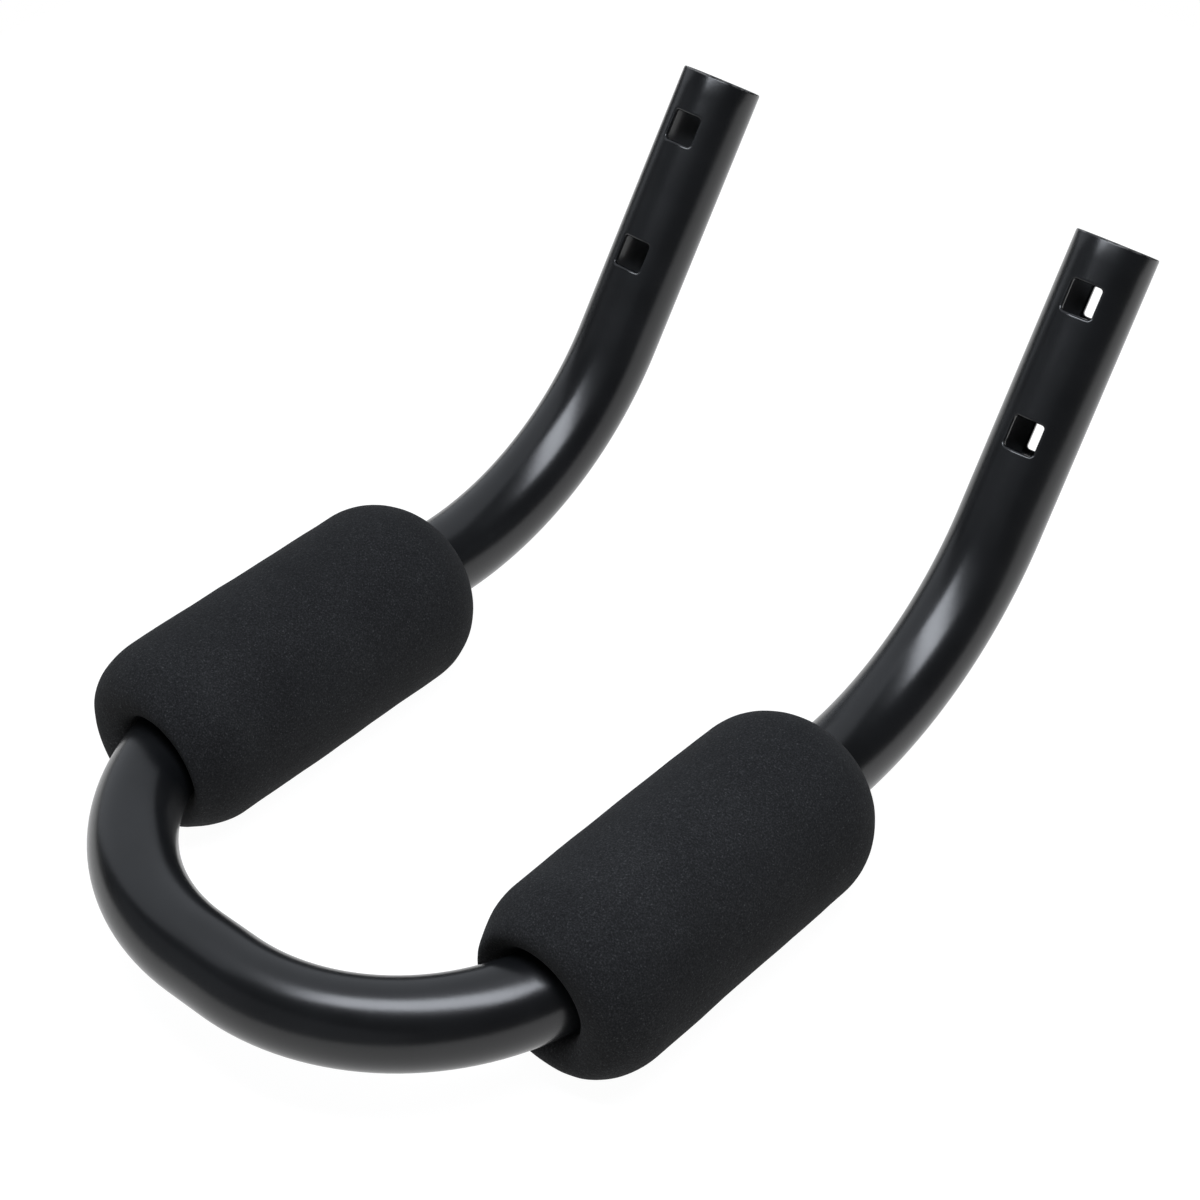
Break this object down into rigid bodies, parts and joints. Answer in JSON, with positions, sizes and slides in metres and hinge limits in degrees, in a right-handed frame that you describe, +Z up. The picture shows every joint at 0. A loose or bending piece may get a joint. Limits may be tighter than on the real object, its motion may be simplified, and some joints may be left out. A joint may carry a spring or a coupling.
{
  "type": "close-grip pull-up bar handle",
  "caption": "U-shaped steel handle for a pull-up bar, with two thick foam grips and upturned leg ends punched for bolts.",
  "frame": {"origin": "middle of the underside: centred left to right and front to back, level with the lowest line of the two foam grips", "axes": "+X to the right-hand leg, +Y from the closed end of the U along the level legs, +Z up, towards which the leg ends rise"},
  "size_m": [0.2131, 0.32, 0.1486],
  "materials": {
    "powder_coat": "smooth satin black powder coat on steel tube",
    "foam": "matte charcoal closed-cell foam with fine grain"
  },
  "bodies": {
    "root": {"bent_tube": "powder_coat", "left_foam_grip": "foam", "right_foam_grip": "foam"}
  },
  "joints": []
}
